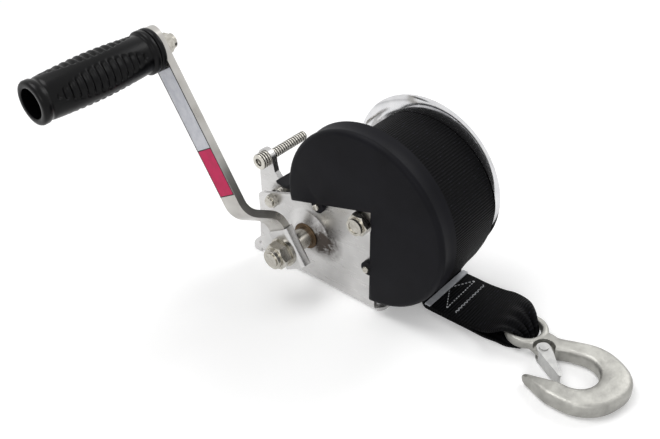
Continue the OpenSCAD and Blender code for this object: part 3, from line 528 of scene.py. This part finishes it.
def strap():
    """The webbing off the drum: its last turn, the run down to the table, the fold and the sewn loop."""
    width = STRAP_RIGHT - STRAP_LEFT
    left, right = [], []
    # The last turn starts inside the roll, and comes 10 mm off it on the side where the strap goes down
    for angle in range(-270, 91, 15):
        lift = 10 * (max(0, angle) / 90) ** 1.5 - 2.3 * max(0, -10 - angle) / 260
        radius = STRAP_MID + lift
        turn = math.radians(angle)
        y, z = DRUM_Y - radius * math.sin(turn), DRUM_Z + radius * math.cos(turn)
        left.append((STRAP_LEFT, y, z))
        right.append((STRAP_RIGHT, y, z))
    for y, z, shift in STRAP_DROP:
        left.append((STRAP_LEFT + shift, y, z))
        right.append((STRAP_RIGHT + shift, y, z))
    for one, two in STRAP_LOOP:
        left.append(one)
        right.append(two)
    left, right = curve(left), curve(right)
    middle = [(one + two) / 2 for one, two in zip(left, right)]
    spans = [0.0]
    for one, two in zip(middle, middle[1:]):
        spans.append(spans[-1] + (two - one).length)
    places = []
    for i, (one, two) in enumerate(zip(left, right)):
        ahead = middle[min(i + 1, len(middle) - 1)] - middle[max(i - 1, 0)]
        out = (two - one).cross(ahead).normalized()
        gather = max(0.0, 1 - (two - one).length / width)
        place = []
        for j in range(YARNS + 1):
            sway = math.sin(2 * math.pi * (FOLDS * j / YARNS + 0.1))
            place.append(one.lerp(two, j / YARNS) + out * (FOLD_H * gather * sway))
            place[-1].z = max(place[-1].z, LOWEST)
        places.append(place)
    bm = bmesh.new()
    rows = [row_of(bm, places[0])]
    for place in places[1:]:
        rows.append(pull(bm, rows[-1], place))
    measure(bm, rows, spans, width)
    bmesh.ops.recalc_face_normals(bm, faces=bm.faces)
    made = finished("webbing_strap", bm, "webbing", crease=80)
    wall = made.modifiers.new("thickness", "SOLIDIFY")
    wall.thickness = STRAP_T * MM
    wall.offset = 0
    soft = made.modifiers.new("selvedge", "BEVEL")
    soft.width = SELVEDGE * MM
    soft.segments = 2
    soft.limit_method = "ANGLE"
    soft.angle_limit = math.radians(60)
    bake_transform(made)
    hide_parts("strap_tail")


def spun(bm, profile, y, z, steps):
    """Spins a closed profile of (radius, x) points about an axis along X."""
    row = row_of(bm, [(x, y, z + radius) for radius, x in profile], closed=True)
    bmesh.ops.spin(
        bm, geom=row + bm.edges[:], cent=(0, y, z), axis=(1, 0, 0), dvec=(0, 0, 0),
        angle=2 * math.pi, steps=steps, use_merge=True, use_duplicate=False)
    bmesh.ops.recalc_face_normals(bm, faces=bm.faces)


def roll():
    """The wound webbing: its side faces show the edge of each turn."""
    tube, pitch = 21.0, 2.18
    round_off, groove = 0.45, 0.55
    left, right = STRAP_LEFT + 0.05, STRAP_RIGHT - 0.05
    lows = [tube + i * pitch for i in range(int((ROLL_R - tube) / pitch))]
    profile = []
    for low in lows:
        profile += [(low, left + groove), (low + round_off, left), (low + pitch - round_off, left)]
    profile += [(ROLL_R, left + 0.45), (ROLL_R, right - 0.45)]
    for low in reversed(lows):
        profile += [(low + pitch - round_off, right), (low + round_off, right), (low, right - groove)]
    bm = bmesh.new()
    spun(bm, profile, DRUM_Y, DRUM_Z, 96)
    layer = bm.loops.layers.uv.new("lengths")
    ribs_round = 144
    for face in bm.faces:
        first = None
        for loop in face.loops:
            turn = math.atan2(loop.vert.co.y - DRUM_Y, loop.vert.co.z - DRUM_Z)
            # The angle jumps under the drum, and a face there keeps its angles together
            if first is None:
                first = turn
            if turn - first > math.pi:
                turn -= 2 * math.pi
            elif first - turn > math.pi:
                turn += 2 * math.pi
            loop[layer].uv = (loop.vert.co.x, turn / (2 * math.pi) * ribs_round * RIB)
    finished("webbing_roll", bm, "webbing", "drum", ["strap_roll"], crease=50)


def bell_flange():
    """Far flange: thin sheet spun outwards into a smooth bell, with a rounded rim."""
    sheet, hub, start, reach, flare = 0.9, 20, 55.5, 11, 5.4
    turns = [math.radians(3 * i) for i in range(21)]
    inner = []
    for a in turns:
        out = reach * math.sin(a) / math.sin(turns[-1])
        inner.append((start + out, FLANGE_IN + flare * (1 - math.cos(a))))
    outer = [(radius - (x - FLANGE_IN) * 0.22, x + sheet) for radius, x in inner]
    profile = [(hub, FLANGE_IN)] + inner + [(66.4, 36.1)] + outer[::-1] + [(hub, FLANGE_IN + sheet)]
    bm = bmesh.new()
    spun(bm, profile, DRUM_Y, DRUM_Z, 144)
    finished("bell_flange", bm, "polished_stainless", "drum", ["far_flange"], crease=50)


def stitches():
    """Rows of white thread that hold the folded end, each stitch a small drop on the webbing."""
    thread_w, thread_h = 0.42, 0.3
    bm = bmesh.new()

    def sew(start, end, pitch=3.1, sway=0.0):
        start, end = Vector(start), Vector(end)
        count = max(1, round((end - start).length / pitch))
        side = Vector((start.y - end.y, end.x - start.x)).normalized()
        points = [start.lerp(end, i / count) + side * sway * (1 if i % 2 else -1) for i in range(count + 1)]
        for one, two in zip(points, points[1:]):
            way = two - one
            drop = bmesh.ops.create_uvsphere(bm, u_segments=8, v_segments=6, radius=1.0)["verts"]
            length = way.length * (0.5 if sway else 0.36)
            bmesh.ops.scale(bm, vec=(length, thread_w, thread_h), verts=drop)
            turn = Matrix.Rotation(math.atan2(way.y, way.x), 3, "Z")
            bmesh.ops.rotate(bm, cent=(0, 0, 0), matrix=turn, verts=drop)
            bmesh.ops.translate(bm, vec=((one.x + two.x) / 2, (one.y + two.y) / 2, STITCH_Z), verts=drop)

    # A triangle, and a zigzag across the strap beside it
    left, right, peak = (-8.1, -109.9), (31.8, -108.9), (13.5, -97.8)
    sew(left, right)
    sew(left, peak)
    sew(right, peak)
    sew((-8.3, -118), (31.8, -117.3), 1.9, 1.0)
    finished("strap_stitching", bm, "thread", "frame", crease=80)


# The grip's profile as (radius, distance from its end): the rounded outer end, then the double collar
GRIP_END = [
    (10.6, 0.3), (11, 0), (13.6, 0), (14.7, 0.5), (15.3, 1.6), (15.3, 5), (14.6, 6.3), (14.2, 7.2),
    (14.2, 8.2), (14.6, 9)]
GRIP_COLLAR = [
    (14.0, 10.4), (14.2, 9.9), (15.6, 9.4), (16, 8.8), (16, 6.2), (15.6, 5.4), (14.8, 5), (14.8, 4.6),
    (15.6, 4.2), (16, 3.6), (16, 1.2), (15.5, 0.3), (15, 0), (4.3, 0)]


def grip():
    """Moulded grip: barrel with fine cross grooves in four lens-shaped panels and a double collar."""
    barrel_from, barrel_l, stations = GRIP_OUT + 10, 78, 110
    belly, waist, taper = 16.8, 2, 0.7
    half_panel, fade, deep = 35, 5, 1.9  # degrees, degrees and mm
    profile = [(radius, GRIP_OUT + x) for radius, x in GRIP_END]
    for i in range(stations + 1):
        f = i / stations
        profile.append((belly - waist * abs(1 - 2 * f) ** 1.8 - taper * f, barrel_from + barrel_l * f))
    profile += [(radius, GRIP_IN - x) for radius, x in GRIP_COLLAR]
    # Bore for the bolt, and the recess for its head
    profile += [(4.3, GRIP_OUT + 36), (10.6, GRIP_OUT + 36)]
    bm = bmesh.new()
    spun(bm, profile, GRIP_Y, GRIP_Z, 120)
    for v in bm.verts:
        y, z = v.co.y - GRIP_Y, v.co.z - GRIP_Z
        radius = math.hypot(y, z)
        f = (v.co.x - barrel_from) / barrel_l
        if radius < 13.5 or not 0.02 < f < 0.97:
            continue
        # From the middle of the nearest panel round to this point, and to the panel's edge
        off = abs((math.degrees(math.atan2(z, y)) - GRIP_PANEL + 45) % 90 - 45)
        reach = half_panel * math.sin(math.pi * min(1, max(0, (f - 0.02) / 0.95))) ** 0.55
        inside = min(1, max(0, (reach - off) / fade))
        wave = 0.5 - 0.5 * math.cos(2 * math.pi * f * GRIP_GROOVES)
        scale = (radius - deep * inside * wave ** 1.2) / radius
        v.co.y = GRIP_Y + y * scale
        v.co.z = GRIP_Z + z * scale
    finished("grip_moulding", bm, "moulded_grip", "grip", ["grip"], crease=50)


def hook_section(inner, outer, height, mid):
    """Rounded-box section across the forging, from its inner edge to its outer edge."""
    places, count = [], 24
    for k in range(count):
        turn = math.radians(360 / count * (k + 0.5))
        u = math.copysign(abs(math.cos(turn)) ** 0.5, math.cos(turn))
        v = math.copysign(abs(math.sin(turn)) ** 0.5, math.sin(turn))
        places.append((
            (inner[0] + outer[0]) / 2 + u * (outer[0] - inner[0]) / 2,
            (inner[1] + outer[1]) / 2 + u * (outer[1] - inner[1]) / 2,
            mid + v * height / 2))
    return places


# Along the hook from the middle of its eye: inner edge, outer edge, thickness and middle height
SHANK = [
    ((11.3, -9.6), (11.3, 11), 7, 8.5), ((16, -8.2), (16, 12.2), 9.5, 8),
    ((21, -6.6), (19.6, 12.9), 12, 6.8), ((25.8, -4.2), (22.8, 15), HOOK_T, HOOK_MID),
    ((29.5, 3), (26.4, 18), HOOK_T, HOOK_MID),
    ((35.3, 8.9), (30.6, 21.7), HOOK_T, HOOK_MID)]
THROAT, THROAT_R = (51.3, 0.8), 15.6
BOWL, BOWL_R = (55.6, 2.4), 31
# The same for the point, but measured from the middle of the throat
POINT = [
    ((1.2, -16.2), (4.7, -31.2), HOOK_T, HOOK_MID), ((-4.8, -20.2), (-2.3, -31.4), 12.2, 6.1),
    ((-10.8, -24.2), (-9.8, -31.2), 10.6, 5.7), ((-15.8, -26.6), (-15.3, -31.4), 8.6, 5.3),
    ((-18.4, -27.6), (-18, -31), 6.6, 5.1), ((-19.8, -28.8), (-19.7, -30.4), 3.2, 5.1)]
# The eye's ring: radius of its middle, half its width, height of its middle and half its height
EYE_R, EYE_W, EYE_MID, EYE_H = 13.25, 2.75, 8.5, 4
# The latch's ears lie in flat seats: their radius, and the heights of the lower and the upper one
SEAT_R, SEAT_LOW, SEAT_HIGH = 7.7, 2.65, 8.4


def hook_sections():
    """All sections of the forging, from the eye to the point."""
    sections = [hook_section(*section) for section in SHANK]
    steps = 24
    for i in range(steps + 1):
        a, b = math.radians(134 - 196 * i / steps), math.radians(127 - 197 * i / steps)
        reach = BOWL_R + (2.4 * math.sin(2 * b) ** 2 if 0 < b < math.pi / 2 else 0)
        sections.append(hook_section(
            (THROAT[0] + THROAT_R * math.cos(a), THROAT[1] + THROAT_R * math.sin(a)),
            (BOWL[0] + reach * math.cos(b), BOWL[1] + reach * math.sin(b)), HOOK_T, HOOK_MID))
    for near, far, height, mid in POINT:
        sections.append(hook_section(
            (THROAT[0] + near[0], THROAT[1] + near[1]),
            (THROAT[0] + far[0], THROAT[1] + far[1]), height, mid))
    return sections


def hook():
    """Forged snap hook: eye, shank, bowl and blunt point in one skin, as a drop forging is."""
    bm = bmesh.new()
    sections = hook_sections()
    first = last = row_of(bm, sections[0], closed=True)
    for section in sections[1:]:
        last = pull(bm, last, section, closed=True)
    bm.faces.new(first)
    bm.faces.new(last)
    # The eye's ring, from a rounded box section
    ring = bmesh.ops.create_circle(bm, segments=20, radius=1.0)["verts"]
    for v in ring:
        u = math.copysign(abs(v.co.x) ** 0.75, v.co.x)
        w = math.copysign(abs(v.co.y) ** 0.75, v.co.y)
        v.co = (EYE_R + EYE_W * u, 0, EYE_MID + EYE_H * w)
    bmesh.ops.spin(
        bm, geom=ring + list({e for v in ring for e in v.link_edges}), cent=(0, 0, 0), axis=(0, 0, 1),
        dvec=(0, 0, 0), angle=2 * math.pi, steps=72, use_merge=True, use_duplicate=False)
    bmesh.ops.recalc_face_normals(bm, faces=bm.faces)
    bmesh.ops.scale(bm, vec=(MM, MM, MM), verts=bm.verts)
    mesh = bpy.data.meshes.new("hook_billet")
    bm.to_mesh(mesh)
    bm.free()
    # One skin over shank and ring, with soft metal flow between them
    billet = bpy.data.objects.new("hook_billet", mesh)
    bpy.context.scene.collection.objects.link(billet)
    skin = billet.modifiers.new("skin", "REMESH")
    skin.mode = "VOXEL"
    skin.voxel_size = 0.6 * MM
    flow = billet.modifiers.new("flow", "SMOOTH")
    flow.factor = 0.5
    flow.iterations = 3
    forged = bpy.data.meshes.new_from_object(billet.evaluated_get(bpy.context.evaluated_depsgraph_get()))
    bpy.data.objects.remove(billet)
    bm = in_millimetres(forged)
    for v in bm.verts:
        if math.hypot(v.co.x - RIVET_S, v.co.y - RIVET_W) < SEAT_R:
            v.co.z = min(SEAT_HIGH, max(SEAT_LOW, v.co.z))
    bmesh.ops.rotate(bm, cent=(0, 0, 0), matrix=Matrix.Rotation(HOOK_TURN, 3, "Z"), verts=bm.verts)
    bmesh.ops.translate(bm, vec=HOOK_AT, verts=bm.verts)
    finished("hook_forging", bm, "zinc_forging", "hook", ["hook"], crease=60)


def cover():
    """Gear cover: the CAD moulding with the full soft radius of the real front edge."""
    # Edge radius in the CAD, where the flat face ends, and the edge radius here
    cad_edge, flat_r, edge = 3, 68, 4
    bm = in_millimetres(nodes["gear_cover"].data)
    bmesh.ops.remove_doubles(bm, verts=bm.verts, dist=0.002)
    front = min(v.co.x for v in bm.verts if math.hypot(v.co.y - DRUM_Y, v.co.z - DRUM_Z) > 60)
    for v in bm.verts:
        y, z = v.co.y - DRUM_Y, v.co.z - DRUM_Z
        radius = math.hypot(y, z)
        depth = v.co.x - front
        if radius > flat_r + 0.5 and depth < cad_edge + 0.05:
            turn = math.acos(max(-1, min(1, 1 - max(0, depth) / cad_edge)))
            scale = (flat_r + edge * math.sin(turn)) / radius
            v.co = (front + edge * (1 - math.cos(turn)), DRUM_Y + y * scale, DRUM_Z + z * scale)
    finished("cover_moulding", bm, "moulded_cover", "frame", ["gear_cover"], crease=32)


def socket():
    """Handle socket: the folded CAD plate with the round bends that a press brake leaves along its web."""
    bm = in_millimetres(nodes["handle_socket"].data)
    bmesh.ops.remove_doubles(bm, verts=bm.verts, dist=0.002)
    bmesh.ops.dissolve_limit(bm, angle_limit=math.radians(2), verts=bm.verts, edges=bm.edges)
    bends = [
        e for e in bm.edges
        if e.calc_length() > 20 and e.is_manifold and e.calc_face_angle() > 1 and e.is_convex]
    bmesh.ops.bevel(
        bm, geom=bends, offset=SOCKET_BEND, segments=5, profile=0.5, affect="EDGES", material=-1,
        offset_type="OFFSET", clamp_overlap=True)
    finished("socket_folding", bm, "stainless_sheet", "crank", ["handle_socket"], crease=32)


def label(name, low, high, half, lift, finish):
    """A plain field of the label on the arm's outer face, between two distances from the crank shaft.

    It reaches half a width to both sides, and stands a lift proud of the arm.
    """
    start = Vector((LABEL_X, CRANK_Y, CRANK_Z))
    bm = bmesh.new()
    bmesh.ops.create_cube(bm, size=1.0)
    for v in bm.verts:
        t = (low + high) / 2 + v.co.x * (high - low)
        place = start + ARM_ALONG * t + ARM_ACROSS * (2 * half * v.co.y)
        v.co = (start.x - lift * (0.5 - v.co.z), place.y, place.z)
    upright = [e for e in bm.edges if abs(e.verts[0].co.x - e.verts[1].co.x) > 0.01]
    bmesh.ops.bevel(
        bm, geom=upright, offset=1.2, segments=3, profile=0.5, affect="EDGES", material=-1,
        offset_type="OFFSET", clamp_overlap=True)
    bmesh.ops.recalc_face_normals(bm, faces=bm.faces)
    finished(name, bm, finish, "crank")


strap()
roll()
bell_flange()
stitches()
grip()
hook()
cover()
socket()
label("label_border", 58.8, 159.8, 9.0, 0.1, "label_ink")
label("label_pale_field", 97, 159, 8.2, 0.16, "label_pale")
label("label_red_field", 59.6, 96.2, 8.2, 0.16, "label_red")


# ---------- Stage ----------

def seen_by_eye(tree):
    """1 for what the camera, metal or glass sees, and 0 for the light that falls on the object."""
    ray = add(tree, "ShaderNodeLightPath").outputs
    direct = {0: ray["Is Camera Ray"], 1: ray["Is Glossy Ray"]}
    either = add(tree, "ShaderNodeMath", direct, operation="MAXIMUM").outputs[0]
    through = {0: either, 1: ray["Is Transmission Ray"]}
    return add(tree, "ShaderNodeMath", through, operation="MAXIMUM").outputs[0]


def studio():
    """Pale floor, soft lamps and a camera at three-quarter height on the crank's side."""
    scene = bpy.context.scene
    scene.view_settings.view_transform = "Standard"

    bm = bmesh.new()
    bmesh.ops.create_grid(bm, x_segments=1, y_segments=1, size=4.0)
    mesh = bpy.data.meshes.new("floor")
    bm.to_mesh(mesh)
    bm.free()
    floor = bpy.data.objects.new("floor", mesh)
    scene.collection.objects.link(floor)
    floor.location.z = cad_box[0][2] - 0.0003
    paper, tree, _ = blank("studio_paper")
    diffuse = add(tree, "ShaderNodeBsdfPrincipled", {"Base Color": linear("#f4f4f4"), "Roughness": 0.9})
    # What the camera, metal and glass see of the paper is lifted to white, and its shadows stay
    glow = add(tree, "ShaderNodeEmission", {
        "Color": linear("#ffffff"), "Strength": spread(tree, seen_by_eye(tree), 0, 0.2)})
    both = add(tree, "ShaderNodeAddShader", {0: diffuse.outputs["BSDF"], 1: glow.outputs["Emission"]})
    add(tree, "ShaderNodeOutputMaterial", {"Surface": both.outputs["Shader"]})
    mesh.materials.append(paper)

    world = bpy.data.worlds.new("studio")
    scene.world = world
    world.use_nodes = True
    tree = world.node_tree
    tree.nodes.clear()
    background = add(tree, "ShaderNodeBackground", {
        "Color": linear("#ffffff"), "Strength": spread(tree, seen_by_eye(tree), 0.42, 1.0)})
    add(tree, "ShaderNodeOutputWorld", {"Surface": background.outputs["Background"]})

    middle = (Vector(cad_box[0]) + Vector(cad_box[1])) / 2
    # Each lamp's place from the middle of the winch and its width, in metres, and its power in watts
    lamps = {
        "key": ((-0.3, 0.5, 1.5), 0.9, 13),
        "fill": ((-1.2, -0.9, 0.9), 0.7, 5),
        "rim": ((1.2, -0.2, 1.0), 0.7, 6)}
    for name, (offset, size, watts) in lamps.items():
        light = bpy.data.lights.new(name, "AREA")
        light.size = size
        light.energy = watts
        lamp = bpy.data.objects.new(name, light)
        lamp.location = middle + Vector(offset)
        lamp.rotation_euler = (middle - lamp.location).to_track_quat("-Z", "Y").to_euler()
        scene.collection.objects.link(lamp)

    lens = bpy.data.cameras.new("camera")
    lens.sensor_width = SENSOR
    lens.lens = LENS
    camera = bpy.data.objects.new("camera", lens)
    back = CAMERA_RIGHT.cross(CAMERA_UP).normalized()
    up = back.cross(CAMERA_RIGHT).normalized()
    turn = Matrix((CAMERA_RIGHT.normalized(), up, back)).transposed().to_4x4()
    camera.matrix_world = Matrix.Translation(CAMERA_AT * MM) @ turn
    scene.collection.objects.link(camera)
    scene.camera = camera


studio()
